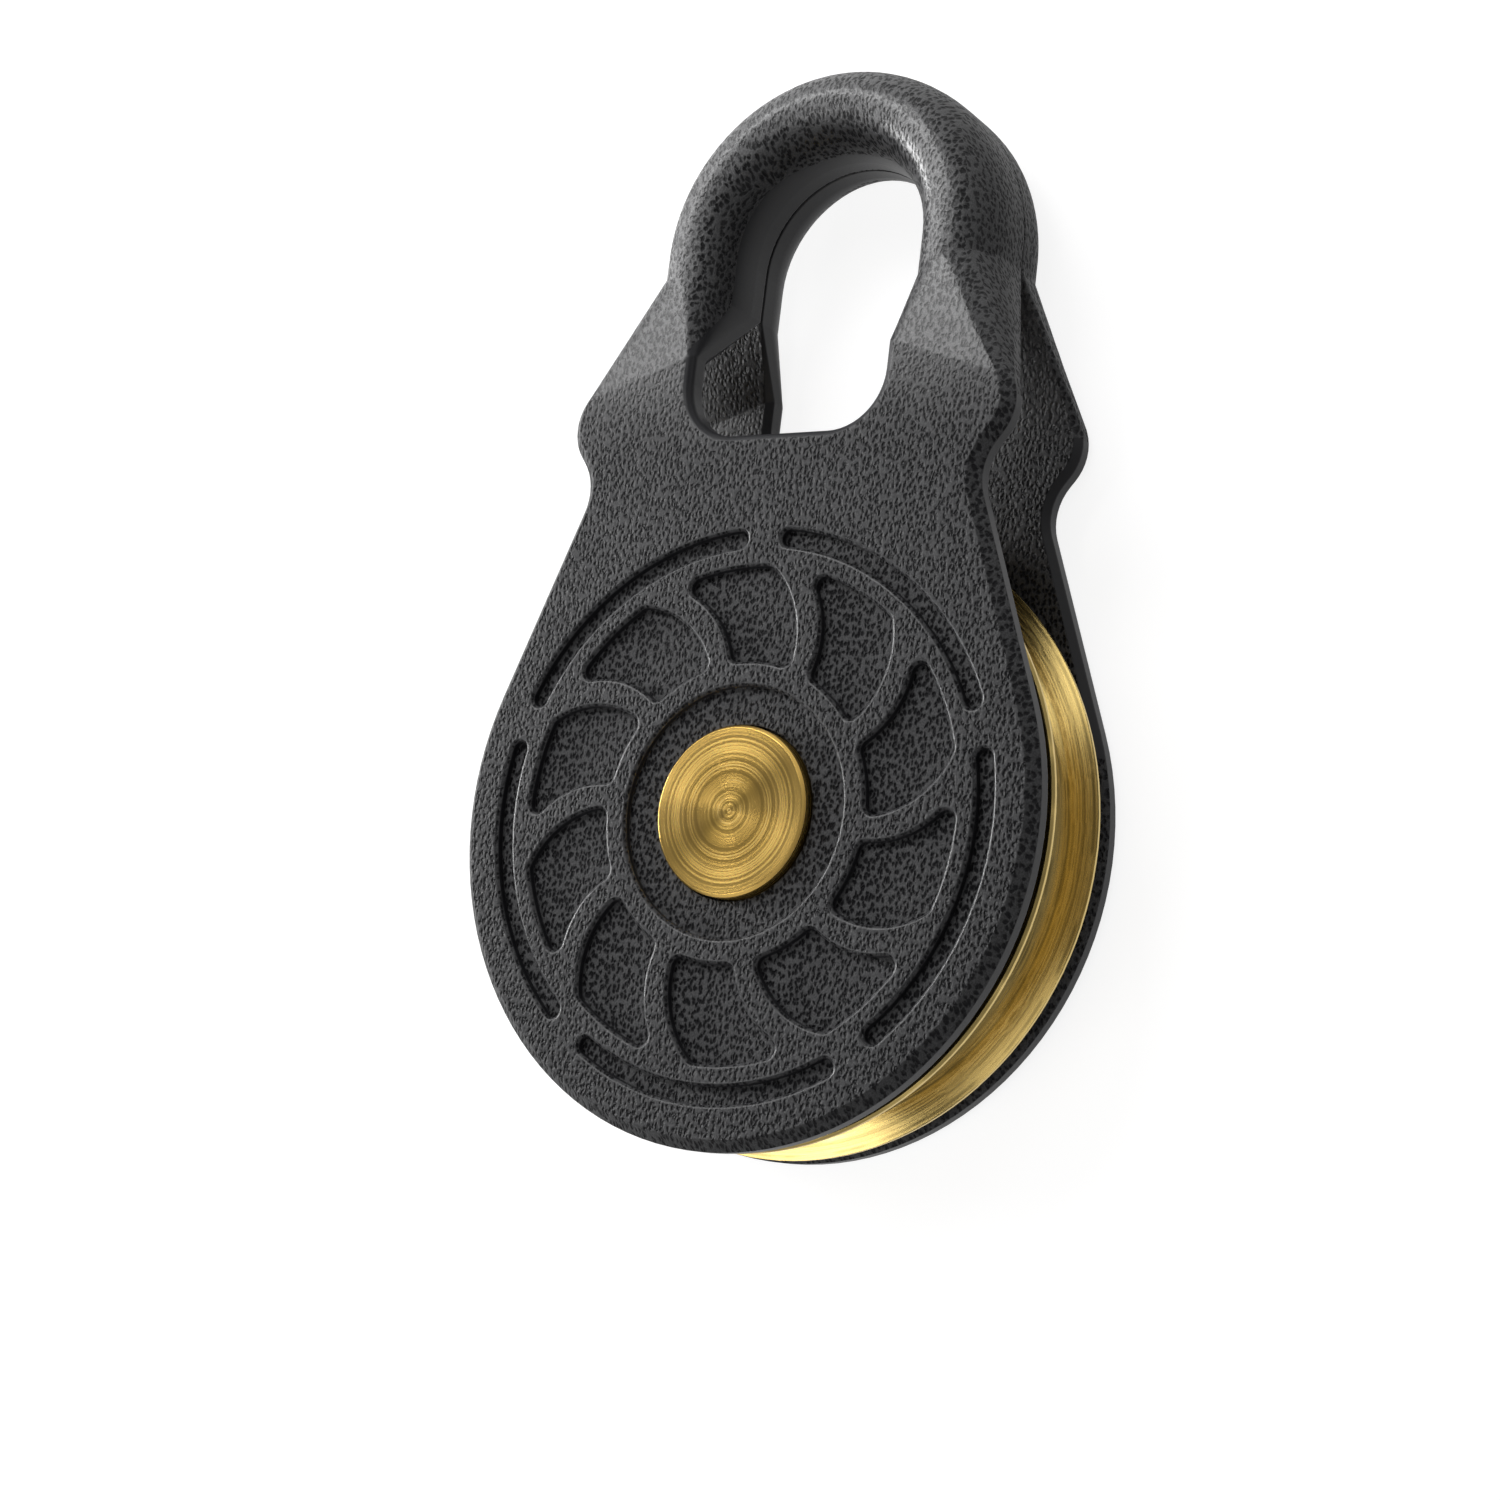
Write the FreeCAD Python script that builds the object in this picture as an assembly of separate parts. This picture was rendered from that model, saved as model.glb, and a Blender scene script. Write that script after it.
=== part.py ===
import FreeCAD, Part
import math
import os

# Snatch block for winch rope, in millimetres.
# The axle runs along Z through the origin, which is the middle of the sheave.
# +Y points to the eye, and +Z points out of the cheek that swings open.
# The block lies flat on the rear cheek, whose outer face points along -Z.

# Rope and sheave
rope_radius = 8.0
groove_play = 0.2
groove_flank_angle = 15.0
groove_depth = 11.5
flange_land = 1.2
flange_edge = 0.5
sheave_inset = 0.3
sheave_rim_wall = 6.0
sheave_web_thickness = 11.0
sheave_web_rounding = 2.5
sheave_hub_radius = 26.0
sheave_hub_proud = 0.3

# Cheek plates. A rounding is given by how far it reaches along each side of its corner.
cheek_radius = 67.0
plate_bevel = 2.3
plate_edge_land = 2.6
plate_inner_bevel = 1.5
flank_angle = 20.5
waist_rise = 2.7
waist_rounding = 6.5
shoulder_flare = 8.6
shoulder_rise = 10.9
shoulder_rounding = 6.0
inner_boss_radius = 25.0
inner_boss_height = 0.2
hub_recess_radius = 25.5
hub_recess_depth = 1.8

# Eye, of which each cheek carries one half
eye_inner_radius = 22.0
eye_bar_width = 18.2
eye_wall_height = 4.2
eye_crown_drop = 2.6
eye_crown_flat = 0.4
eye_taper_length = 14.3
eye_leg_inside = 10.4
eye_leg_outside = 4.1
eye_seam = 0.3
eye_seam_drop = 3.0
eye_seam_break = 0.25

# Slot below the eye, and the fold from the plate up to the eye
slot_half_width = 23.3
slot_rise = 11.4
slot_corner_rounding = 12.0
slot_edge_radius = 2.0
slot_side_length = 18.0
fold_rise_outside = 6.2

# Relief in the outer faces: a ring of pockets inside a broken ring groove
pocket_count = 10
pocket_hub_land = 5.0
pocket_web = 5.0
pocket_slant = 34.0
pocket_side_turn = 66.0
pocket_corner = 2.0
pocket_depth = 2.0
arc_groove_count = 5
arc_groove_rim_land = 9.0
arc_groove_inner_land = 4.2
arc_groove_width = 3.6
arc_groove_bridge = 12.0
relief_edge = 0.6

# Axle
pin_radius = 14.0
pin_flat_depth = 1.6
pin_end_step = 2.0
pin_end_length = 3.1
pin_head_overhang = 3.4
pin_head_thickness = 4.6
pin_head_proud = 2.4
pin_edge = 0.6
head_gap = 0.5
running_clearance = 0.06
face_clearance = 0.15

# Bush, washers and ring
bush_wall = 4.0
bush_groove_width = 4.0
bush_groove_depth = 0.8
thrust_washer_thickness = 1.0
thrust_washer_radius = 23.0
pin_washer_thickness = 1.0
pin_washer_radius = 18.5
ring_thickness = 1.2
ring_groove_depth = 0.7
ring_width = 2.6
ring_lug_radius = 3.0
ring_lug_hole_radius = 1.0
ring_lug_angle = 20.0
ring_gap_angle = 9.0
rear_counterbore_depth = 2.0
rear_counterbore_radius = 21.0

# Grease way and nipple
grease_bore_radius = 2.0
nipple_well_radius = 7.5
nipple_well_depth = 9.5
nipple_inset = 0.4
nipple_thread_radius = 3.0
nipple_thread_length = 5.5
nipple_hex_flats = 7.0
nipple_hex_height = 3.0
nipple_neck_radius = 2.2
nipple_head_radius = 3.2
nipple_head_height = 2.6
nipple_tip_radius = 1.7
nipple_bore_radius = 1.3
nipple_mouth_radius = 0.9
nipple_mouth_length = 0.8
nipple_ball_radius = 1.2
nipple_ball_gap = 0.02
spring_wire_radius = 0.2
spring_radius = 0.9
spring_turns = 4
spring_pitch = 1.0

# Sizes that follow from the driving ones
groove_radius = rope_radius + groove_play
sheave_radius = cheek_radius - sheave_inset
groove_bottom = sheave_radius - groove_depth
flank = math.radians(groove_flank_angle)
flank_start = groove_bottom + groove_radius * (1 - math.sin(flank))
rim_mouth = groove_radius * math.cos(flank) + (sheave_radius - flank_start) * math.tan(flank)
rim_half_width = rim_mouth + flange_land
hub_half_width = rim_half_width + sheave_hub_proud
washer_outer = hub_half_width + face_clearance + thrust_washer_thickness
boss_face = washer_outer + face_clearance
plate_inner = boss_face + inner_boss_height
plate_thickness = plate_bevel + plate_edge_land + plate_inner_bevel
plate_outer = plate_inner + plate_thickness
recess_floor = plate_outer - hub_recess_depth
head_top = recess_floor + pin_head_proud
head_underside = head_top - pin_head_thickness
head_seat = head_underside - face_clearance
pin_head_radius = pin_radius + pin_head_overhang
pin_end_radius = pin_radius - pin_end_step
pin_bore = pin_radius + running_clearance
rear_seat = recess_floor - rear_counterbore_depth
ring_groove_start = rear_seat + pin_washer_thickness
pin_end = rear_seat + pin_end_length
waist_height = cheek_radius + waist_rise
slot_bottom = cheek_radius + slot_rise
fold_height_at_slot = slot_bottom + slot_side_length
eye_height = fold_height_at_slot + eye_taper_length + eye_leg_inside
eye_outer_radius = eye_inner_radius + eye_bar_width
eye_half_depth = plate_outer - eye_crown_drop
eye_rounding_width = (eye_bar_width - eye_crown_flat) / 2
arc_groove_radius = cheek_radius - arc_groove_rim_land - arc_groove_width / 2
pocket_outer_radius = arc_groove_radius - arc_groove_width / 2 - arc_groove_inner_land
pocket_inner_radius = hub_recess_radius + pocket_hub_land
pocket_height = pocket_outer_radius - pocket_inner_radius
pocket_rounding = min(pocket_corner, 0.4 * pocket_height)
pocket_sweep = math.degrees(pocket_height * math.tan(math.radians(pocket_slant)) / pocket_outer_radius)
nipple_seat = pin_end - nipple_well_depth
nipple_tip = pin_end - nipple_inset

near = 0.01
axis = FreeCAD.Vector(0, 0, 1)
centre = FreeCAD.Vector(0, 0, 0)


def vec(x, y, z=0.0):
    return FreeCAD.Vector(x, y, z)


def polar(radius, degrees, z=0.0):
    angle = math.radians(degrees)
    return vec(radius * math.cos(angle), radius * math.sin(angle), z)


def cylinder(radius, low, high):
    return Part.makeCylinder(radius, high - low, vec(0, 0, low))


def tube(outer, inner, low, high):
    return cylinder(outer, low, high).cut(cylinder(inner, low - 1, high + 1))


def turned(points):
    """A solid of revolution about Z, from (radius, z) corners."""
    corners = [vec(radius, 0, z) for radius, z in points]
    wire = Part.makePolygon(corners + corners[:1])
    return Part.Face(wire).revolve(centre, axis, 360)


def arc(start, middle, end):
    return Part.Arc(start, middle, end).toShape()


def arc_about_axis(radius, start_angle, end_angle):
    middle = (start_angle + end_angle) / 2
    return arc(polar(radius, start_angle), polar(radius, middle), polar(radius, end_angle))


def round_corner(before, corner, after, reach):
    """The arc that rounds a corner: its start, middle and end."""
    back = (before - corner).normalize()
    ahead = (after - corner).normalize()
    half = back.getAngle(ahead) / 2
    inward = (back + ahead).normalize()
    radius = reach * math.tan(half)
    middle = corner + inward * (radius / math.sin(half) - radius)
    return corner + back * reach, middle, corner + ahead * reach


def rounded_chain(stops):
    """Edges through (point, reach) stops, with an arc at each stop that has a reach."""
    edges = []
    last = stops[0][0]
    for i in range(1, len(stops) - 1):
        point, reach = stops[i]
        if reach:
            start, middle, end = round_corner(stops[i - 1][0], point, stops[i + 1][0], reach)
            edges.append(Part.makeLine(last, start))
            edges.append(arc(start, middle, end))
            last = end
        else:
            edges.append(Part.makeLine(last, point))
            last = point
    edges.append(Part.makeLine(last, stops[-1][0]))
    return edges


def mirrored_x(shape):
    return shape.mirror(centre, vec(1, 0, 0))


def flank_touch():
    """Where the straight flank leaves the round lower end."""
    return polar(cheek_radius, flank_angle)


def waist_corner():
    """Where the flank would meet the neck if the waist weren't rounded."""
    touch = flank_touch()
    lean = math.tan(math.radians(flank_angle))
    return vec(touch.x - lean * (waist_height - touch.y), waist_height)


def shoulder_corner():
    return waist_corner() + vec(shoulder_flare, shoulder_rise)


def leg_inside():
    """Where the straight leg of the eye starts, on the side of the opening."""
    return vec(eye_inner_radius, eye_height - eye_leg_inside)


def leg_outside():
    return vec(eye_outer_radius, eye_height - eye_leg_outside)


def fold_outside():
    """The end of the fold line on the outer edge, between shoulder and eye."""
    shoulder = shoulder_corner()
    leg = leg_outside()
    return shoulder + (leg - shoulder) * (fold_rise_outside / (leg.y - shoulder.y))


def fold_inside():
    return vec(slot_half_width, fold_height_at_slot)


def plate_outline():
    """The plate below the fold, with the lower part of the slot."""
    right = [
        (flank_touch(), 0),
        (waist_corner(), waist_rounding),
        (shoulder_corner(), shoulder_rounding),
        (fold_outside(), 0),
        (fold_inside(), 0),
        (vec(slot_half_width, slot_bottom), slot_corner_rounding),
    ]
    left = [(vec(-p.x, p.y), r) for p, r in reversed(right)]
    edges = rounded_chain(right + left)
    edges.append(arc(left[-1][0], vec(0, -cheek_radius), right[0][0]))
    return Part.Face(Part.Wire(edges))


def on_fold(edge):
    """Whether an edge lies on one of the two fold lines."""
    middle = (fold_outside() + fold_inside()) * 0.5
    here = edge.valueAt((edge.FirstParameter + edge.LastParameter) / 2)
    return math.hypot(abs(here.x) - middle.x, here.y - middle.y) < near


def on_slot(edge):
    box = edge.BoundBox
    inside = max(abs(box.XMin), abs(box.XMax)) < slot_half_width + near
    return inside and box.YMin > slot_bottom - near


def rim_edges(solid, height):
    """The level edges at one height, apart from those on the fold lines."""
    level = []
    for edge in solid.Edges:
        box = edge.BoundBox
        if abs(box.ZMin - height) < near and box.ZLength < near and not on_fold(edge):
            level.append(edge)
    return level


def plate():
    body = plate_outline().extrude(vec(0, 0, plate_thickness))
    body.translate(vec(0, 0, plate_inner))
    body = body.makeChamfer(plate_inner_bevel, rim_edges(body, plate_inner))
    rims = rim_edges(body, plate_outer)
    body = body.makeChamfer(plate_bevel, [e for e in rims if not on_slot(e)])
    slot = [e for e in rim_edges(body, plate_outer) if on_slot(e)]
    return body.makeFillet(slot_edge_radius, slot)


def quarter(start, corner, end):
    """A quarter of an ellipse that starts and ends along the sides of a corner."""
    curve = Part.BezierCurve()
    curve.setPoles([start, corner, end])
    curve.setWeight(2, math.sqrt(0.5))
    return curve.toShape()


def bar_section(inner, outer, low, high, inner_side, outer_side, beveled=False):
    """A bar's closed section between two upright sides, beveled below and rounded on top.

    Each side is its lower bevel, the height of its rounding and the rounding's width.
    A beveled section has a flat bevel in place of its outer rounding."""
    along = (outer - inner).normalize()
    up = vec(0, 0, 1)
    inner_bevel, inner_height, inner_width = inner_side
    outer_bevel, outer_height, outer_width = outer_side
    corners = [
        inner + along * (inner_bevel * inner_width / inner_height) + up * low,
        outer - along * (outer_bevel * outer_width / outer_height) + up * low,
        outer + up * (low + outer_bevel),
        outer + up * (high - outer_height),
        outer - along * outer_width + up * high,
        inner + along * inner_width + up * high,
        inner + up * (high - inner_height),
        inner + up * (low + inner_bevel),
    ]
    edges = [Part.makeLine(corners[i], corners[(i + 1) % 8]) for i in range(8)]
    if not beveled:
        edges[3] = quarter(corners[3], outer + up * high, corners[4])
    edges[5] = quarter(corners[5], inner + up * high, corners[6])
    return Part.Wire(edges)


def eye_section(inner, outer, seam):
    """The eye bar's section between a point on its opening and one on its outer side."""
    along = (outer - inner).normalize()
    height = eye_half_depth - eye_wall_height - seam
    side = (eye_seam_break, height, eye_rounding_width / abs(along.x))
    return bar_section(inner, outer, seam + eye_seam / 2, eye_half_depth, side, side)


def level_section(seam):
    """Where the leg of the eye meets its round."""
    inner = vec(eye_inner_radius, eye_height)
    outer = vec(eye_outer_radius, eye_height)
    return eye_section(inner, outer, seam)


def fold_section():
    """The plate's own section along the fold line, where the leg of the eye starts."""
    inner = fold_inside()
    outer = fold_outside()
    along = (outer - inner).normalize()
    edge = (leg_outside() - outer).normalize()
    inner_side = (plate_inner_bevel, slot_edge_radius, slot_edge_radius / abs(along.x))
    outer_width = plate_bevel / abs(along.x * edge.y - along.y * edge.x)
    outer_side = (plate_inner_bevel, plate_bevel, outer_width)
    return bar_section(inner, outer, plate_inner, plate_outer, inner_side, outer_side, True)


def eye_leg(seam):
    """From the fold up to the round of the eye: a tapering leg and a short straight one."""
    start = eye_section(leg_inside(), leg_outside(), seam)
    taper = Part.makeLoft([fold_section(), start], True, True)
    straight = Part.makeLoft([start, level_section(seam)], True, True)
    return taper.fuse(straight)


def eye_arch(seam):
    section = Part.Face(level_section(seam))
    return section.revolve(vec(0, eye_height), axis, 180)


def swept_side(start_angle, low, high):
    """One bowed side of a relief pocket, from its inner to its outer radius."""
    start = polar(low, start_angle)
    end = polar(high, start_angle + pocket_sweep)
    half = (end - start) * 0.5
    bow = half.Length * math.tan(math.radians(pocket_side_turn / 4))
    aside = vec(half.y, -half.x).normalize() * bow
    return arc(start, start + half + aside, end)


def relief_tool(edges):
    """What a closed outline removes from the outer face."""
    tool = Part.Face(Part.Wire(edges)).extrude(vec(0, 0, pocket_depth + 1))
    tool.translate(vec(0, 0, plate_outer - pocket_depth))
    return tool


def relief_pocket(start_angle):
    """One swept pocket, as wide as the webs between the pockets leave it."""
    low = pocket_inner_radius
    high = pocket_outer_radius
    pitch = 360.0 / pocket_count
    low_end = start_angle + pitch - math.degrees(pocket_web / low)
    high_end = start_angle + pitch - math.degrees(pocket_web / high)
    first = swept_side(start_angle, low, high)
    second = swept_side(low_end, low, high)
    outer = arc_about_axis(high, start_angle + pocket_sweep, low_end + pocket_sweep)
    inner = arc_about_axis(low, low_end, start_angle)
    tool = relief_tool([first, outer, second, inner])
    upright = [e for e in tool.Edges if e.BoundBox.ZLength > pocket_depth]
    return tool.makeFillet(pocket_rounding, upright)


def relief_arc(start_angle):
    """One stretch of the ring groove, with round ends."""
    low = arc_groove_radius - arc_groove_width / 2
    high = arc_groove_radius + arc_groove_width / 2
    end_angle = start_angle + 360.0 / arc_groove_count - arc_groove_bridge
    cap = math.degrees(arc_groove_width / 2 / arc_groove_radius)
    start_cap = polar(arc_groove_radius, start_angle - cap)
    end_cap = polar(arc_groove_radius, end_angle + cap)
    return relief_tool([
        arc_about_axis(high, start_angle, end_angle),
        arc(polar(high, end_angle), end_cap, polar(low, end_angle)),
        arc_about_axis(low, end_angle, start_angle),
        arc(polar(low, start_angle), start_cap, polar(high, start_angle)),
    ])


def relief_rims(body):
    """The edges of the relief that lie in the outer face."""
    reach = arc_groove_radius + arc_groove_width
    level = [e for e in body.Edges if e.BoundBox.ZMin > plate_outer - near]
    return [e for e in level if e.BoundBox.YMax < reach and e.BoundBox.YMin > -reach]


def cheek_blank(seam):
    """One forging with its eye down to the seam, and with its hub boss and relief."""
    leg = eye_leg(seam)
    body = plate().fuse([leg, mirrored_x(leg), eye_arch(seam)]).removeSplitter()
    body = body.fuse(cylinder(inner_boss_radius, boss_face, plate_inner + 1))
    cutters = [cylinder(hub_recess_radius, recess_floor, plate_outer + 1)]
    for i in range(pocket_count):
        cutters.append(relief_pocket(360.0 / pocket_count * i))
    for i in range(arc_groove_count):
        cutters.append(relief_arc(90 + arc_groove_bridge / 2 + 360.0 / arc_groove_count * i))
    body = body.cut(cutters)
    return body.makeChamfer(relief_edge, relief_rims(body))


def front_cheek():
    """Swings on the axle, under its head."""
    bore = cylinder(pin_bore, boss_face - 1, plate_outer)
    head = cylinder(pin_head_radius + head_gap, head_seat, plate_outer)
    return cheek_blank(-eye_seam_drop).cut([bore, head])


def rear_cheek():
    """Held on the axle's flats by the washer and ring."""
    flats = double_flat(boss_face - 1, plate_outer)
    well = cylinder(rear_counterbore_radius, rear_seat, plate_outer)
    return turned_over(cheek_blank(eye_seam_drop).cut([flats, well]))


def turned_over(shape):
    """From the front of the block to its back, as a half turn about Y."""
    return shape.rotated(centre, vec(0, 1, 0), 180)


def double_flat(low, high):
    """The axle's bar where two flats keep the rear cheek from turning."""
    half = pin_radius - pin_flat_depth
    block = Part.makeBox(4 * pin_radius, 2 * half, high - low, vec(-2 * pin_radius, -half, low))
    return cylinder(pin_radius, low, high).common(block)


def sheave():
    return groove_profile().revolve(centre, axis, 360)


def groove_profile():
    """Half the sheave's section: rim with rope groove, web, hub and bore."""
    bore = pin_bore + bush_wall
    inner_rim = groove_bottom - sheave_rim_wall
    web = sheave_web_thickness / 2
    edge = flange_edge
    tangent = vec(flank_start, 0, groove_radius * math.cos(flank))
    upper = [
        (tangent, 0),
        (vec(sheave_radius, 0, rim_mouth), 0),
        (vec(sheave_radius, 0, rim_half_width - edge), 0),
        (vec(sheave_radius - edge, 0, rim_half_width), 0),
        (vec(inner_rim, 0, rim_half_width), 0),
        (vec(inner_rim, 0, web), sheave_web_rounding),
        (vec(sheave_hub_radius, 0, web), sheave_web_rounding),
        (vec(sheave_hub_radius, 0, hub_half_width), 0),
        (vec(bore, 0, hub_half_width), 0),
    ]
    lower = [(vec(p.x, 0, -p.z), r) for p, r in reversed(upper)]
    edges = rounded_chain(upper + lower)
    edges.append(arc(lower[-1][0], vec(groove_bottom, 0), upper[0][0]))
    return Part.Face(Part.Wire(edges))


def sheave_bushing():
    """Pressed into the sheave, with a grease groove round its bore."""
    body = tube(pin_bore + bush_wall, pin_bore, -hub_half_width, hub_half_width)
    half = bush_groove_width / 2
    return body.cut(tube(pin_bore + bush_groove_depth, pin_bore / 2, -half, half))


def thrust_washer():
    low = hub_half_width + face_clearance
    return tube(thrust_washer_radius, pin_bore, low, washer_outer)


def axle_pin():
    """Head in front, bearing length, flats for the rear cheek, and an end with the ring and nipple."""
    head = cylinder(pin_head_radius, head_underside, head_top)
    head = head.makeChamfer(pin_edge, [e for e in head.Edges if e.BoundBox.ZMin > head_top - near])
    shank = cylinder(pin_radius, -boss_face, head_underside)
    flats = double_flat(-rear_seat, -boss_face)
    end = cylinder(pin_end_radius, -pin_end, -rear_seat)
    end = end.makeChamfer(pin_edge, [e for e in end.Edges if e.BoundBox.ZMax < near - pin_end])
    body = head.fuse([shank, flats, end]).removeSplitter()
    groove_end = -ring_groove_start - ring_thickness
    ring_groove = tube(pin_radius, pin_end_radius - ring_groove_depth, groove_end, -ring_groove_start)
    well = cylinder(nipple_well_radius, -pin_end - 1, -nipple_seat)
    thread_end = nipple_thread_length - nipple_seat
    thread = cylinder(nipple_thread_radius + running_clearance, -nipple_seat - 1, thread_end)
    way = cylinder(grease_bore_radius, -nipple_seat, grease_bore_radius)
    cross = Part.makeCylinder(grease_bore_radius, 4 * pin_radius, vec(-2 * pin_radius, 0), vec(1, 0))
    return body.cut([ring_groove, well, thread, way, cross])


def pin_washer():
    washer = tube(pin_washer_radius, pin_end_radius + running_clearance, rear_seat, ring_groove_start)
    return turned_over(washer)


def retaining_ring():
    """Open snap ring with two drilled lugs."""
    low = ring_groove_start
    high = low + ring_thickness
    inner = pin_end_radius - ring_groove_depth
    reach = inner + ring_lug_radius
    angles = [-90 - ring_lug_angle, -90 + ring_lug_angle]
    lugs = [Part.makeCylinder(ring_lug_radius, ring_thickness, polar(reach, a, low)) for a in angles]
    body = tube(inner + ring_width, inner, low, high).fuse(lugs).removeSplitter()
    gap = Part.makePolygon([
        vec(0, 0, low - 1),
        polar(2 * reach, -90 - ring_gap_angle, low - 1),
        polar(2 * reach, -90 + ring_gap_angle, low - 1),
        vec(0, 0, low - 1),
    ])
    cutters = [Part.Face(gap).extrude(vec(0, 0, ring_thickness + 2)), cylinder(inner, low - 1, high + 1)]
    for a in angles:
        cutters.append(Part.makeCylinder(ring_lug_hole_radius, ring_thickness + 2, polar(reach, a, low - 1)))
    return turned_over(body.cut(cutters))


def grease_nipple():
    """Screwed into the rear end of the axle, tip outwards."""
    thread_end = nipple_seat - nipple_thread_length
    hex_top = nipple_seat + nipple_hex_height
    head_start = nipple_tip - nipple_head_height
    body = turned([
        (0, thread_end),
        (nipple_thread_radius, thread_end),
        (nipple_thread_radius, nipple_seat),
        (nipple_neck_radius, hex_top),
        (nipple_neck_radius, head_start),
        (nipple_head_radius, head_start + nipple_head_height / 3),
        (nipple_head_radius, head_start + nipple_head_height / 2),
        (nipple_tip_radius, nipple_tip),
        (0, nipple_tip),
    ])
    corners = [polar(nipple_hex_flats / math.sqrt(3), 60 * i, nipple_seat) for i in range(6)]
    hexagon = Part.Face(Part.makePolygon(corners + corners[:1])).extrude(vec(0, 0, nipple_hex_height))
    bore = cylinder(nipple_bore_radius, thread_end - 1, nipple_tip - nipple_mouth_length)
    mouth = cylinder(nipple_mouth_radius, nipple_seat, nipple_tip + 1)
    return turned_over(body.fuse(hexagon).cut([bore, mouth]))


def ball_centre():
    """Just below the mouth's inner edge, which the ball closes."""
    drop = math.sqrt(nipple_ball_radius ** 2 - nipple_mouth_radius ** 2)
    return nipple_tip - nipple_mouth_length - drop - nipple_ball_gap


def nipple_ball():
    return turned_over(Part.makeSphere(nipple_ball_radius, vec(0, 0, ball_centre())))


def nipple_spring():
    """Coil behind the ball."""
    height = spring_turns * spring_pitch
    start = ball_centre() - nipple_ball_radius - height
    path = Part.makeHelix(spring_pitch, height, spring_radius)
    ring = Part.Circle(vec(spring_radius, 0), vec(0, 1, 0), spring_wire_radius).toShape()
    coil = Part.Wire(path).makePipeShell([Part.Wire(ring)], True, True)
    coil.translate(vec(0, 0, start))
    return turned_over(coil)


os.makedirs("parts", exist_ok=True)
pieces = {
    "front_cheek": front_cheek(),
    "rear_cheek": rear_cheek(),
    "sheave": sheave(),
    "sheave_bushing": sheave_bushing(),
    "front_thrust_washer": thrust_washer(),
    "rear_thrust_washer": turned_over(thrust_washer()),
    "axle_pin": axle_pin(),
    "pin_washer": pin_washer(),
    "retaining_ring": retaining_ring(),
    "grease_nipple": grease_nipple(),
    "nipple_ball": nipple_ball(),
    "nipple_spring": nipple_spring(),
}
for name, shape in pieces.items():
    shape.exportStep("parts/" + name + ".step")
    state = "valid" if shape.isValid() and len(shape.Solids) == 1 else "NOT A VALID SOLID"
    box = shape.BoundBox
    size = (round(box.XLength, 2), round(box.YLength, 2), round(box.ZLength, 2))
    print(name, state, size, "mm", round(shape.Volume), "mm3")
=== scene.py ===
import math
import bpy
from mathutils import Matrix, Vector


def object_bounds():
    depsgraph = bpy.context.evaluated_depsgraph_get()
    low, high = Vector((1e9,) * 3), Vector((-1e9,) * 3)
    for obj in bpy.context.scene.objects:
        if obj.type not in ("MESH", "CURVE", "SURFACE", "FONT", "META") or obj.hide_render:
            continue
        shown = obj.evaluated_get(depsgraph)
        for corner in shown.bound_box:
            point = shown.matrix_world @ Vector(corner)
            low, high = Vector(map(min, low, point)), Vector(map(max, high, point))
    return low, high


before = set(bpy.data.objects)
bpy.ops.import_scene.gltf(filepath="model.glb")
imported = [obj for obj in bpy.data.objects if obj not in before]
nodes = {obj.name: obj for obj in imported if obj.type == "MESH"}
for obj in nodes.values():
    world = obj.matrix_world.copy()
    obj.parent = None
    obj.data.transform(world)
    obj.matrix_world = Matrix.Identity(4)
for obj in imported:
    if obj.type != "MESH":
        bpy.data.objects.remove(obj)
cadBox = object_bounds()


# helpers for building the finishes
def startMaterial(name):
    material = bpy.data.materials.new(name)
    material.use_nodes = True
    material.node_tree.nodes.clear()
    return material


def addNode(tree, kind, **settings):
    node = tree.nodes.new(kind)
    for key, value in settings.items():
        setattr(node, key, value)
    return node


def feed(tree, socket, value):
    # a number or colour is written on the socket, another socket is linked to it
    if isinstance(value, bpy.types.NodeSocket):
        tree.links.new(value, socket)
    else:
        socket.default_value = value


def calc(tree, operation, *values):
    node = addNode(tree, "ShaderNodeMath", operation=operation)
    for i, value in enumerate(values):
        feed(tree, node.inputs[i], value)
    return node.outputs[0]


def chain(tree, operation, first, *others):
    # the product, the sum or the largest of several values
    for value in others:
        first = calc(tree, operation, first, value)
    return first


def distance(tree, a, b):
    squares = calc(tree, "ADD", calc(tree, "POWER", a, 2.0), calc(tree, "POWER", b, 2.0))
    return calc(tree, "SQRT", squares)


def fade(tree, value, low, high, start=0.0, end=1.0):
    # smooth step of a value between two limits
    node = addNode(tree, "ShaderNodeMapRange", interpolation_type="SMOOTHSTEP")
    for i, item in enumerate((value, low, high, start, end)):
        feed(tree, node.inputs[i], item)
    return node.outputs[0]


def blend(tree, first, second, factor):
    # the first value where the factor is 0, the second where it is 1
    return fade(tree, factor, 0.0, 1.0, first, second)


def mixColours(tree, factor, first, second):
    # inputs 6 and 7 and output 2 are the node's colour sockets
    node = addNode(tree, "ShaderNodeMix", data_type="RGBA")
    feed(tree, node.inputs[0], factor)
    feed(tree, node.inputs[6], first)
    feed(tree, node.inputs[7], second)
    return node.outputs[2]


def partPlace(tree, stretch=(1, 1, 1)):
    # place in the part's own frame, in millimetres, so that a finish turns with its piece
    place = addNode(tree, "ShaderNodeTexCoord")
    scaled = addNode(tree, "ShaderNodeVectorMath", operation="MULTIPLY")
    tree.links.new(place.outputs["Object"], scaled.inputs[0])
    scaled.inputs[1].default_value = [1000 * s for s in stretch]
    return scaled.outputs[0]


def parts(tree, vector):
    node = addNode(tree, "ShaderNodeSeparateXYZ")
    tree.links.new(vector, node.inputs[0])
    return node.outputs[0], node.outputs[1], node.outputs[2]


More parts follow.
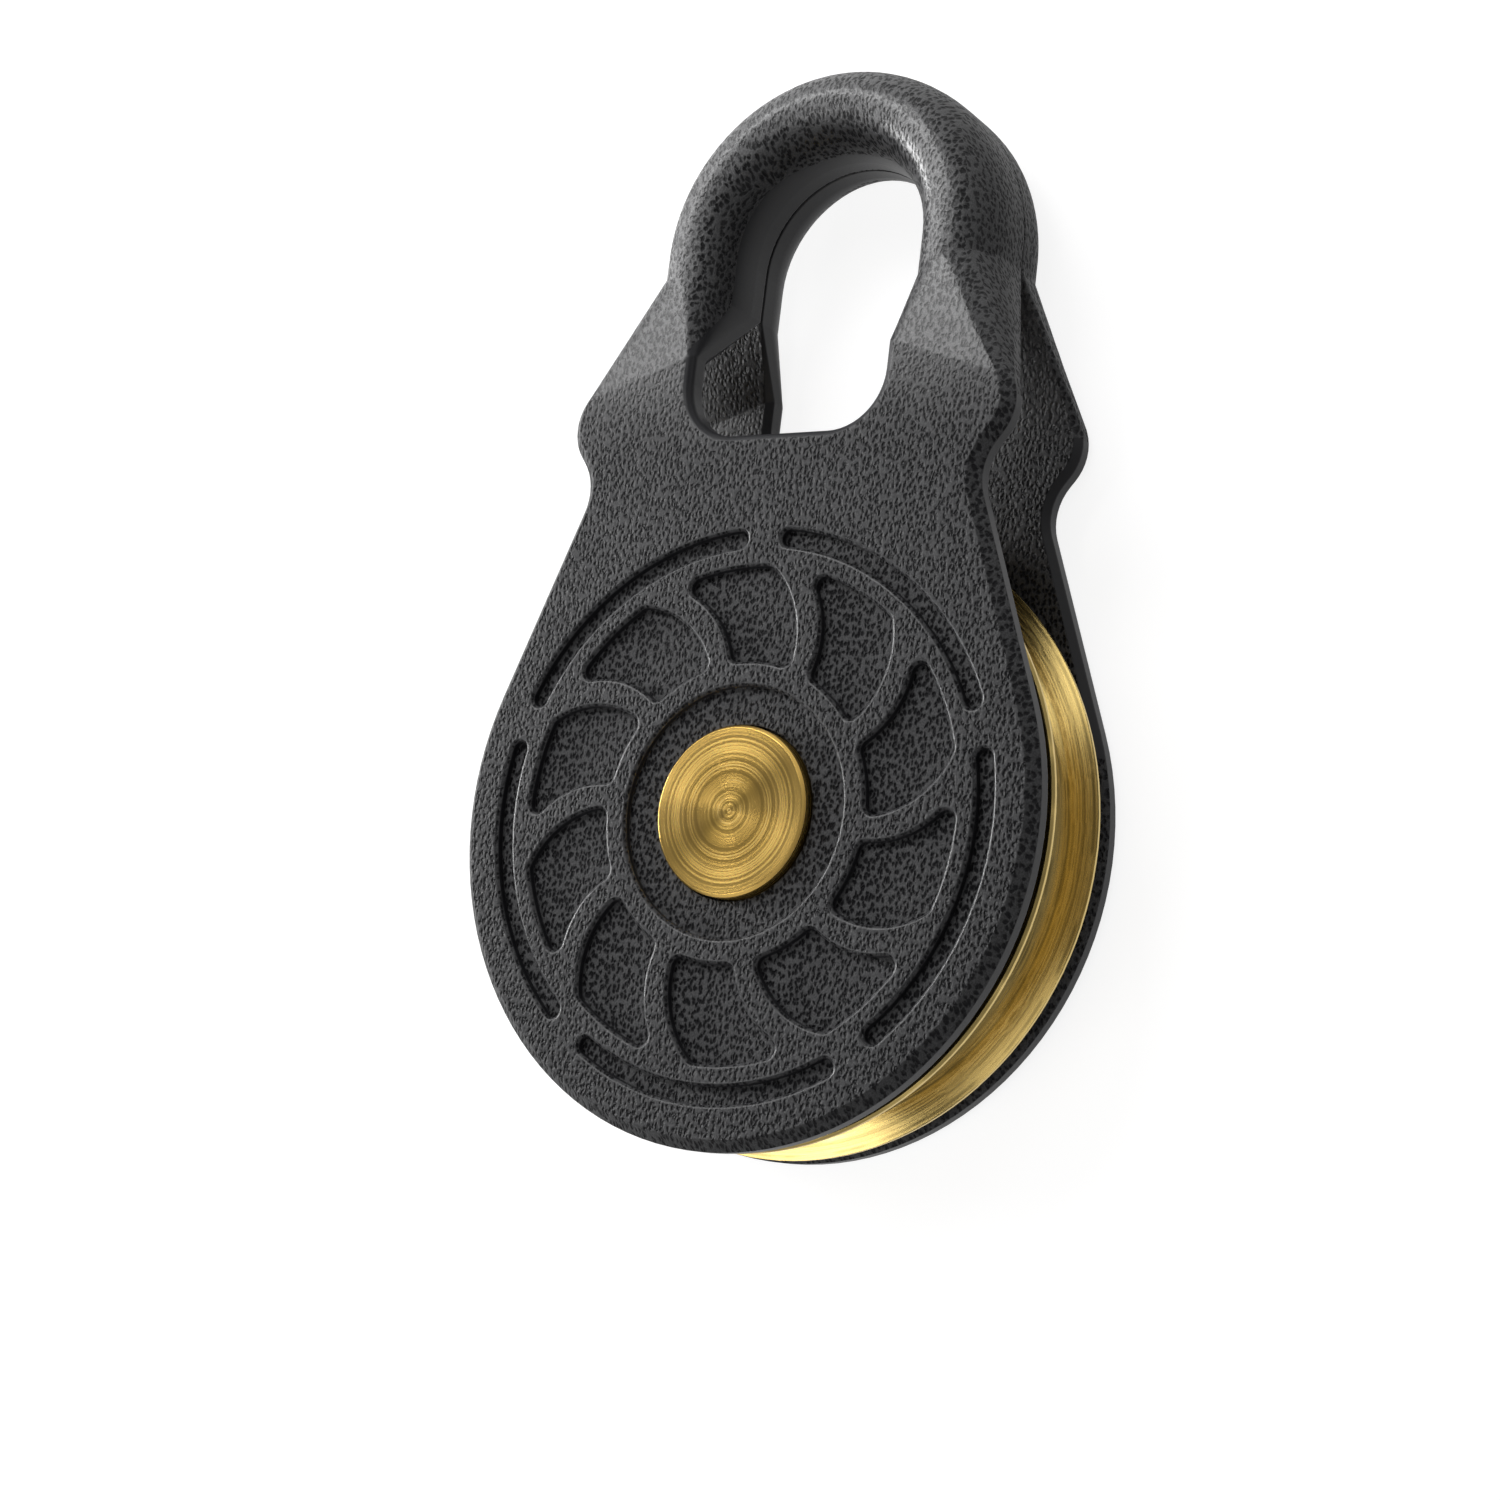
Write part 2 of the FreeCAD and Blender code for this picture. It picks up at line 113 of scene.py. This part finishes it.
def joined(tree, *values):
    node = addNode(tree, "ShaderNodeCombineXYZ")
    for i, value in enumerate(values):
        feed(tree, node.inputs[i], value)
    return node.outputs[0]


def noise(tree, vector, scale, detail=2.0, rough=0.5):
    node = addNode(tree, "ShaderNodeTexNoise")
    tree.links.new(vector, node.inputs["Vector"])
    node.inputs["Scale"].default_value = scale
    node.inputs["Detail"].default_value = detail
    node.inputs["Roughness"].default_value = rough
    return node.outputs[0]


def bump(tree, height, depth, normal, strength=1.0):
    node = addNode(tree, "ShaderNodeBump")
    node.inputs["Strength"].default_value = strength
    node.inputs["Distance"].default_value = depth / 1000
    tree.links.new(height, node.inputs["Height"])
    tree.links.new(normal, node.inputs["Normal"])
    return node.outputs[0]


def softEdges(tree, radius):
    node = addNode(tree, "ShaderNodeBevel", samples=6)
    node.inputs["Radius"].default_value = radius / 1000
    return node.outputs[0]


def surface(tree, **values):
    shader = addNode(tree, "ShaderNodeBsdfPrincipled")
    for name, value in values.items():
        feed(tree, shader.inputs[name.replace("_", " ")], value)
    output = addNode(tree, "ShaderNodeOutputMaterial")
    tree.links.new(shader.outputs[0], output.inputs[0])


# where the coat lies smooth: plate edges, walls of the slot and of the eye, rims of the relief;
# places in mm, x across and y up the block; "facing" is 1 on the plate and 0 on a side wall
smoothBand = {
    "edgeHeight": 16.3,       # the plate's edge is smooth below this height
    "edgeFacing": 0.93,
    "bevelStart": 18.0,       # lower down, the inner bevel keeps its hammertone
    "foldLine": 84.0,
    "eyeHeight": 121.1,
    "eyeInside": 22.0,
    "slotHalfWidth": 23.3,
    "slotBottom": 78.4,
    "slotToEye": (96.0, 111.0),
    "slotBand": 2.1,
    "slotBandEnd": (92.0, 108.0),
    "eyeBand": 0.9,
    "topBand": 0.1,
    "bandFacing": 0.97,
    "wallFacing": 0.16,
    "wallReach": 4.0,         # above the fold, only walls this near to the opening are smooth
    "reliefHeight": 18.1,
    "reliefRadius": 60.0,
    "rimTurn": 0.985,         # on a rim, the softened and the flat normal part by this cosine
}


def partNormal(tree):
    # the flat normal, and how far it faces sideways, lengthways and forwards in the part's frame
    geometry = addNode(tree, "ShaderNodeNewGeometry")
    toPart = addNode(tree, "ShaderNodeVectorTransform", vector_type="NORMAL",
                     convert_from="WORLD", convert_to="OBJECT")
    tree.links.new(geometry.outputs["Normal"], toPart.inputs[0])
    facings = [calc(tree, "ABSOLUTE", n) for n in parts(tree, toPart.outputs[0])]
    return geometry.outputs["Normal"], facings


def smoothMask(tree, softNormal):
    # 1 on the smooth bands, 0 on the hammertone; and the rims of the relief alone
    band = smoothBand
    x, y, z = parts(tree, partPlace(tree))
    flatNormal, facings = partNormal(tree)
    facing = facings[2]
    side = calc(tree, "ABSOLUTE", x)
    height = calc(tree, "ABSOLUTE", z)

    onPlate = calc(tree, "LESS_THAN", y, band["foldLine"])
    plateEdge = chain(tree, "MULTIPLY", calc(tree, "LESS_THAN", facing, band["edgeFacing"]),
                      calc(tree, "LESS_THAN", height, band["edgeHeight"]), onPlate,
                      calc(tree, "GREATER_THAN", y, band["bevelStart"]))

    # distance outwards from the wall of the slot and the eye
    past = calc(tree, "MAXIMUM", calc(tree, "SUBTRACT", y, band["eyeHeight"]), 0.0)
    reach = distance(tree, side, past)
    wallPlace = fade(tree, y, *band["slotToEye"], band["slotHalfWidth"], band["eyeInside"])
    outwards = calc(tree, "SUBTRACT", reach, wallPlace)
    nearWall = calc(tree, "LESS_THAN", outwards, band["wallReach"])
    walls = calc(tree, "MULTIPLY", calc(tree, "LESS_THAN", facing, band["wallFacing"]),
                 calc(tree, "MAXIMUM", onPlate, nearWall))

    # a narrow band along the opening's edge: wide at the slot, fine at the top of the eye
    level = calc(tree, "DIVIDE", side, calc(tree, "MAXIMUM", reach, 1.0))
    eyeBand = blend(tree, band["topBand"], band["eyeBand"], level)
    slotBand = fade(tree, y, *band["slotBandEnd"], band["slotBand"], 0.0)
    inside = chain(tree, "MULTIPLY",
                   calc(tree, "LESS_THAN", outwards, calc(tree, "MAXIMUM", slotBand, eyeBand)),
                   calc(tree, "GREATER_THAN", y, band["slotBottom"] - band["slotBand"]),
                   calc(tree, "LESS_THAN", facing, band["bandFacing"]))

    turned = addNode(tree, "ShaderNodeVectorMath", operation="DOT_PRODUCT")
    tree.links.new(flatNormal, turned.inputs[0])
    tree.links.new(softNormal, turned.inputs[1])
    rims = chain(tree, "MULTIPLY", calc(tree, "GREATER_THAN", height, band["reliefHeight"]),
                 calc(tree, "LESS_THAN", distance(tree, x, y), band["reliefRadius"]),
                 calc(tree, "LESS_THAN", turned.outputs["Value"], band["rimTurn"]))
    return chain(tree, "MAXIMUM", plateEdge, walls, inside, rims), rims


# the pits of the hammertone, in a flat pattern laid on the surface
pitPattern = {
    "spacing": 0.92,          # mm across
    "stretch": 1.45,          # spacing along the block over spacing across
    "bend": 0.9,              # how fine the noise is that bends the rows
    "unevenness": 0.12,       # spread of their sizes, in spacings
    "wallFacing": 0.71,       # a wall that faces aside more than this takes its pits from the side
}


def hammerPits(tree):
    # distance from the nearest pit, in spacings
    x, y, z = parts(tree, partPlace(tree))
    sideways, lengthways = partNormal(tree)[1][:2]
    onSide = calc(tree, "GREATER_THAN", sideways, pitPattern["wallFacing"])
    onEnd = calc(tree, "GREATER_THAN", lengthways, pitPattern["wallFacing"])
    across = calc(tree, "ADD", x, calc(tree, "MULTIPLY", onSide, calc(tree, "SUBTRACT", z, x)))
    along = calc(tree, "ADD", y, calc(tree, "MULTIPLY", onEnd, calc(tree, "SUBTRACT", z, y)))
    place = joined(tree, calc(tree, "DIVIDE", across, pitPattern["spacing"]),
                   calc(tree, "DIVIDE", along, pitPattern["spacing"] * pitPattern["stretch"]))
    bend = addNode(tree, "ShaderNodeTexNoise", noise_dimensions="2D")
    tree.links.new(place, bend.inputs["Vector"])
    bend.inputs["Scale"].default_value = pitPattern["bend"]
    bent = addNode(tree, "ShaderNodeVectorMath", operation="ADD")
    tree.links.new(bend.outputs["Color"], bent.inputs[0])
    tree.links.new(place, bent.inputs[1])
    cells = addNode(tree, "ShaderNodeTexVoronoi", voronoi_dimensions="2D")
    tree.links.new(bent.outputs[0], cells.inputs["Vector"])
    cells.inputs["Scale"].default_value = 1.0
    sizes = calc(tree, "MULTIPLY", parts(tree, cells.outputs["Color"])[0], pitPattern["unevenness"])
    return calc(tree, "ADD", cells.outputs["Distance"], sizes)


# hammertone powder coat of the two cheeks
coat = {
    "face": (0.075, 0.075, 0.077, 1),
    # painted shade: the pits are painted near black, standing in for the shade inside them
    "pit": (0.004, 0.004, 0.005, 1),
    "smooth": (0.016, 0.016, 0.018, 1),
    "crown": (0.190, 0.190, 0.193, 1),  # painted highlight: the ring's front, painted lighter
    "crownStart": (98.0, 120.0),        # mm up the block, where it sets in
    "crownFacing": (0.56, 0.96),
    "pitRange": (0.29, 0.57),           # from a pit's dark middle to its rim, in spacings
    "dentReach": 0.67,                  # how far its dent reaches
    "pitDepth": 0.46,                   # mm
    "sheenOnPits": 0.58,                   # painted sheen: how far the pits are painted lighter on the fold and the crown
    "calmStart": (80.0, 90.0),          # mm up the block
    "calmFacing": (0.78, 0.93),
    "grainSize": 0.30,                  # mm
    "grainStretch": (1.0, 0.7, 1.0),
    "grainRange": (0.3, 0.7),
    "grainDepth": 0.12,                 # mm
    "grainShade": 0.45,
    "cloudScale": 0.12,                 # per mm
    "cloudRange": (0.2, 0.8),
    "cloudShade": 0.8,
    "roughness": 0.55,
    "roughnessSpread": 0.05,
    "gloss": 0.10,
    "edgeRadius": 0.5,                  # mm
}

# clear top of the coat: its weight, thin in the pits, duller on the plate and the side walls
glaze = {
    "face": 0.66,
    "pit": 0.36,
    "smooth": 0.32,
    "rim": 1.0,
    "plateShare": 0.16,
    "plateEnd": (72.0, 98.0),           # mm up the block
    "sideShare": 0.25,
    "sideFacing": (0.3, 0.8),
    "roughness": 0.31,
    "relief": 0.13,                     # share of the relief that the glaze still shows
}


def makeCoat():
    material = startMaterial("hammertoneCoat")
    tree = material.node_tree
    softNormal = softEdges(tree, coat["edgeRadius"])
    flat, rims = smoothMask(tree, softNormal)
    upwards = parts(tree, partPlace(tree))[1]
    facing = partNormal(tree)[1][2]

    away = hammerPits(tree)
    # painted sheen: on the fold and the crown the pits are painted lighter, where the sheen falls
    # brightest
    paintedSheen = chain(tree, "MULTIPLY", fade(tree, upwards, *coat["calmStart"]),
                 fade(tree, facing, *coat["calmFacing"]), coat["sheenOnPits"])
    pits = calc(tree, "MAXIMUM", fade(tree, away, *coat["pitRange"]), paintedSheen)
    dents = fade(tree, away, 0.0, coat["dentReach"])
    grain = noise(tree, partPlace(tree, coat["grainStretch"]), 1.0 / coat["grainSize"], rough=0.55)
    cloud = noise(tree, partPlace(tree), coat["cloudScale"])
    height = calc(tree, "ADD", calc(tree, "MULTIPLY", dents, coat["pitDepth"]),
                  calc(tree, "MULTIPLY", grain, coat["grainDepth"]))
    height = calc(tree, "MULTIPLY", height, calc(tree, "SUBTRACT", 1.0, flat))

    tone = chain(tree, "MULTIPLY", pits,
                 fade(tree, cloud, *coat["cloudRange"], coat["cloudShade"], 1.0),
                 fade(tree, grain, *coat["grainRange"], coat["grainShade"], 1.0))
    # painted highlight: the ring's crown gets a lighter colour than the face, standing in for its
    # sheen
    paintedCrownHighlight = calc(tree, "MULTIPLY", fade(tree, facing, *coat["crownFacing"]),
                  fade(tree, upwards, *coat["crownStart"]))
    top = mixColours(tree, paintedCrownHighlight, coat["face"], coat["crown"])
    # painted shade: where the tone is low the near-black pit colour comes in; in the pits it stands
    # for their shade, while cloud and grain add random tone
    colour = mixColours(tree, tone, coat["pit"], top)
    colour = mixColours(tree, flat, colour, coat["smooth"])
    roughness = fade(tree, grain, *coat["grainRange"], coat["roughness"] - coat["roughnessSpread"],
                     coat["roughness"] + coat["roughnessSpread"])

    weight = chain(tree, "MULTIPLY", blend(tree, glaze["pit"], glaze["face"], pits),
                   fade(tree, upwards, *glaze["plateEnd"], glaze["plateShare"], 1.0),
                   fade(tree, facing, *glaze["sideFacing"], glaze["sideShare"], 1.0))
    weight = blend(tree, blend(tree, weight, glaze["smooth"], flat), glaze["rim"], rims)
    surface(tree, Base_Color=colour, Roughness=roughness, Specular_IOR_Level=coat["gloss"],
            Normal=bump(tree, height, 1.0, softNormal),
            Coat_Weight=weight, Coat_Roughness=glaze["roughness"],
            Coat_Normal=bump(tree, height, 1.0, softNormal, glaze["relief"]))
    return material


# turned and gold-plated steel of the sheave and the axle; sizes in mm
gold = {
    "sheaveGold": {
        "light": (0.66, 0.490, 0.180, 1),
        "dark": (0.29, 0.216, 0.078, 1),
        "roughness": 0.24,
        "anisotropy": 0.7,
        "spacing": 0.34,      # of the turned lines
        "drift": 0.5,         # how much they come and go round the axle
        "depth": 0.010,
        "edge": 0.12,
    },
    "pinGold": {
        "light": (0.76, 0.50, 0.137, 1),
        "dark": (0.62, 0.40, 0.107, 1),
        "roughness": 0.22,
        "anisotropy": 0.88,
        "spacing": 0.42,
        "drift": 0.15,
        "depth": 0.006,
        "edge": 0.18,
    },
}

# what all turned pieces share
turning = {
    "fineDetail": 1.5,
    "fineRough": 0.6,
    "broadSize": 4.0,         # the broad lines over the fine ones
    "broadShare": 0.6,        # of the tone, the rest comes from the fine lines
    "changeScale": 0.11,      # per mm, how fast the lines come and go
    "noiseRange": (0.3, 0.7),
    "goldTone": (0.38, 0.60),
    "smoother": 0.05,         # how far the gold's roughness goes down and up
    "rougher": 0.06,
    "aroundAxle": 0.25,       # turns the anisotropy so that its sheen runs outwards
}


def turnedLines(tree, spacing, drift):
    # the marks that a lathe leaves round Z: where they lie, and the fine ones
    x, y, z = parts(tree, partPlace(tree))
    change = noise(tree, partPlace(tree), turning["changeScale"], 1.0)
    lines = joined(tree, distance(tree, x, y), z, calc(tree, "MULTIPLY", change, drift / spacing))
    return lines, noise(tree, lines, 1.0 / spacing, turning["fineDetail"], turning["fineRough"])


def mixTone(tree, broad, fine):
    share = turning["broadShare"]
    return calc(tree, "ADD", calc(tree, "MULTIPLY", broad, share),
                calc(tree, "MULTIPLY", fine, 1.0 - share))


def makeGold(name):
    finish = gold[name]
    material = startMaterial(name)
    tree = material.node_tree
    lines, fine = turnedLines(tree, finish["spacing"], finish["drift"])
    broad = noise(tree, lines, 1.0 / (turning["broadSize"] * finish["spacing"]))
    tone = fade(tree, mixTone(tree, broad, fine), *turning["goldTone"])
    colour = mixColours(tree, tone, finish["dark"], finish["light"])
    roughness = fade(tree, fine, *turning["noiseRange"], finish["roughness"] - turning["smoother"],
                     finish["roughness"] + turning["rougher"])
    normal = bump(tree, fine, finish["depth"], softEdges(tree, finish["edge"]))
    tangent = addNode(tree, "ShaderNodeTangent", direction_type="RADIAL", axis="Z")
    surface(tree, Base_Color=colour, Metallic=1.0, Roughness=roughness, Normal=normal,
            Anisotropic=finish["anisotropy"], Anisotropic_Rotation=turning["aroundAxle"],
            Tangent=tangent.outputs[0])
    return material


# washers, ring and spring, bush, nipple; sizes in mm
smallParts = {
    "washerSteel": {"light": (0.62, 0.62, 0.63, 1), "dark": (0.36, 0.36, 0.37, 1),
                    "roughness": 0.32, "spacing": 0.3, "depth": 0.012},
    "springSteel": {"light": (0.16, 0.16, 0.17, 1), "dark": (0.05, 0.05, 0.055, 1),
                    "roughness": 0.38, "spacing": 0.5, "depth": 0.008},
    "sinteredBronze": {"light": (0.66, 0.42, 0.20, 1), "dark": (0.36, 0.21, 0.09, 1),
                       "roughness": 0.42, "spacing": 0.25, "depth": 0.012},
    "platedNipple": {"light": (0.78, 0.74, 0.62, 1), "dark": (0.50, 0.46, 0.36, 1),
                     "roughness": 0.22, "spacing": 0.2, "depth": 0.004},
}


mottling = {
    "scale": 0.8,             # per mm
    "detail": 3.0,
    "rough": 0.6,
    "tone": (0.35, 0.65),
    "drift": 0.3,
    "smoother": 0.06,         # how far the roughness goes down and up
    "rougher": 0.10,
    "edge": 0.1,              # mm
}


def makeSmallFinish(name):
    finish = smallParts[name]
    material = startMaterial(name)
    tree = material.node_tree
    fine = turnedLines(tree, finish["spacing"], mottling["drift"])[1]
    mottle = noise(tree, partPlace(tree), mottling["scale"], mottling["detail"], mottling["rough"])
    tone = fade(tree, mixTone(tree, mottle, fine), *mottling["tone"])
    colour = mixColours(tree, tone, finish["dark"], finish["light"])
    roughness = fade(tree, mottle, *turning["noiseRange"],
                     finish["roughness"] - mottling["smoother"],
                     finish["roughness"] + mottling["rougher"])
    normal = bump(tree, fine, finish["depth"], softEdges(tree, mottling["edge"]))
    surface(tree, Base_Color=colour, Metallic=1.0, Roughness=roughness, Normal=normal)
    return material


finishes = {"hammertoneCoat": makeCoat()}
for name in gold:
    finishes[name] = makeGold(name)
for name in smallParts:
    finishes[name] = makeSmallFinish(name)

pieceFinish = {
    "front_cheek": "hammertoneCoat",
    "rear_cheek": "hammertoneCoat",
    "sheave": "sheaveGold",
    "axle_pin": "pinGold",
    "sheave_bushing": "sinteredBronze",
    "front_thrust_washer": "washerSteel",
    "rear_thrust_washer": "washerSteel",
    "pin_washer": "washerSteel",
    "retaining_ring": "springSteel",
    "nipple_spring": "springSteel",
    "grease_nipple": "platedNipple",
    "nipple_ball": "platedNipple",
}
for name, finish in pieceFinish.items():
    mesh = nodes[name].data
    mesh.materials.clear()
    mesh.materials.append(finishes[finish])
print("finishes:", len(finishes), "on", len(pieceFinish), "pieces")


studio = {
    "floorSize": 6.0,         # m
    "floorColour": (0.28, 0.28, 0.28, 1),
    "floorGlow": 0.86,        # what the camera and reflections see besides
    "worldLight": 0.20,
    "worldColour": (1.0, 1.0, 1.0, 1),
    "backdropGlow": 0.92,     # what the camera and reflections see behind the floor
    "backdropTop": (0.35, 0.50),  # sine of the height at which it ends
}


def makeFloor():
    low = min(v[2] for v in cadBox)
    half = studio["floorSize"] / 2
    mesh = bpy.data.meshes.new("floor")
    corners = [(-half, -half, low), (half, -half, low), (half, half, low), (-half, half, low)]
    mesh.from_pydata(corners, [], [(0, 1, 2, 3)])
    floor = bpy.data.objects.new("floor", mesh)
    bpy.context.scene.collection.objects.link(floor)
    material = startMaterial("paleFloor")
    tree = material.node_tree
    diffuse = addNode(tree, "ShaderNodeBsdfDiffuse")
    diffuse.inputs[0].default_value = studio["floorColour"]
    glow = addNode(tree, "ShaderNodeEmission")
    rays = addNode(tree, "ShaderNodeLightPath").outputs
    seen = chain(tree, "MAXIMUM", rays["Is Camera Ray"], rays["Is Glossy Ray"],
                 rays["Is Transmission Ray"])
    tree.links.new(calc(tree, "MULTIPLY", seen, studio["floorGlow"]), glow.inputs["Strength"])
    both = addNode(tree, "ShaderNodeAddShader")
    tree.links.new(diffuse.outputs[0], both.inputs[0])
    tree.links.new(glow.outputs[0], both.inputs[1])
    output = addNode(tree, "ShaderNodeOutputMaterial")
    tree.links.new(both.outputs[0], output.inputs[0])
    mesh.materials.append(material)


def makeWorld():
    world = bpy.data.worlds.new("studio")
    bpy.context.scene.world = world
    world.use_nodes = True
    tree = world.node_tree
    tree.nodes.clear()
    rays = addNode(tree, "ShaderNodeLightPath").outputs
    background = addNode(tree, "ShaderNodeBackground")
    background.inputs[0].default_value = studio["worldColour"]
    seen = chain(tree, "MAXIMUM", rays["Is Camera Ray"], rays["Is Glossy Ray"],
                 rays["Is Transmission Ray"])
    height = parts(tree, addNode(tree, "ShaderNodeTexCoord").outputs["Generated"])[2]
    backdrop = fade(tree, height, *studio["backdropTop"], studio["backdropGlow"],
                    studio["worldLight"])
    strength = blend(tree, studio["worldLight"], backdrop, seen)
    tree.links.new(strength, background.inputs[1])
    output = addNode(tree, "ShaderNodeOutputWorld")
    tree.links.new(background.outputs[0], output.inputs[0])


# soft boxes: place, width and height in m, brightness; one without an aim lies flat, shining down
lamps = {
    "keySoft": {"at": (-0.48, 0.68, 0.77), "size": (0.76, 0.38), "glow": 10.5},
    "topRight": {"at": (0.13, 0.50, 0.77), "size": (0.30, 0.30), "glow": 3.3},
    "leftMid": {"at": (-0.88, 0.40, 0.58), "size": (0.42, 0.42), "glow": 5.0, "aim": (0, 0.10, 0)},
    "leftLow": {"at": (-1.05, 0.15, 0.16), "size": (0.4, 0.25), "glow": 30.0, "aim": (0, 0.05, 0)},
    "lowFront": {"at": (-0.48, -0.45, 0.77), "size": (0.5, 0.35), "glow": 5.0},
    "overRight": {"at": (0.06, -0.25, 0.77), "size": (0.28, 0.28), "glow": 1.55},
}


def makeLamps():
    for name, lamp in lamps.items():
        light = bpy.data.lights.new(name, "AREA")
        light.shape = "RECTANGLE"
        light.size, light.size_y = lamp["size"]
        light.energy = lamp["glow"] * math.pi * light.size * light.size_y
        item = bpy.data.objects.new(name, light)
        bpy.context.scene.collection.objects.link(item)
        item.location = lamp["at"]
        if "aim" in lamp:
            aim = Vector(lamp["aim"]) - item.location
            item.rotation_euler = aim.to_track_quat("-Z", "Y").to_euler()


# the camera stands in front of the block and looks back at the middle of its front face
view = {
    "turn": 33.41,            # degrees from the front cheek towards the right
    "tilt": -9.25,
    "roll": 6.95,
    "distance": 0.52035,      # m
    "across": 0.003918,
    "upwards": 0.012050,
    "faceHeight": 0.01887,
    "lens": 63.05,            # mm
    "sensor": 36.0,
}


def makeCamera():
    turn, tilt, roll = (math.radians(view[k]) for k in ("turn", "tilt", "roll"))
    back = Vector((math.sin(turn) * math.cos(tilt), math.sin(tilt),
                   math.cos(turn) * math.cos(tilt)))
    level = Vector((math.cos(turn), 0, -math.sin(turn)))
    over = back.cross(level)
    right = level * math.cos(roll) + over * math.sin(roll)
    up = over * math.cos(roll) - level * math.sin(roll)
    data = bpy.data.cameras.new("camera")
    data.lens = view["lens"]
    data.sensor_width = view["sensor"]
    data.sensor_fit = "HORIZONTAL"
    camera = bpy.data.objects.new("camera", data)
    bpy.context.scene.collection.objects.link(camera)
    middle = Vector((0, 0, view["faceHeight"]))
    place = middle + right * view["across"] + up * view["upwards"] + back * view["distance"]
    turned = Matrix((right, up, back)).transposed().to_4x4()
    camera.matrix_world = Matrix.Translation(place) @ turned
    bpy.context.scene.camera = camera


makeFloor()
makeWorld()
makeLamps()
makeCamera()
bpy.context.scene.view_settings.view_transform = "Standard"
print("studio ready")
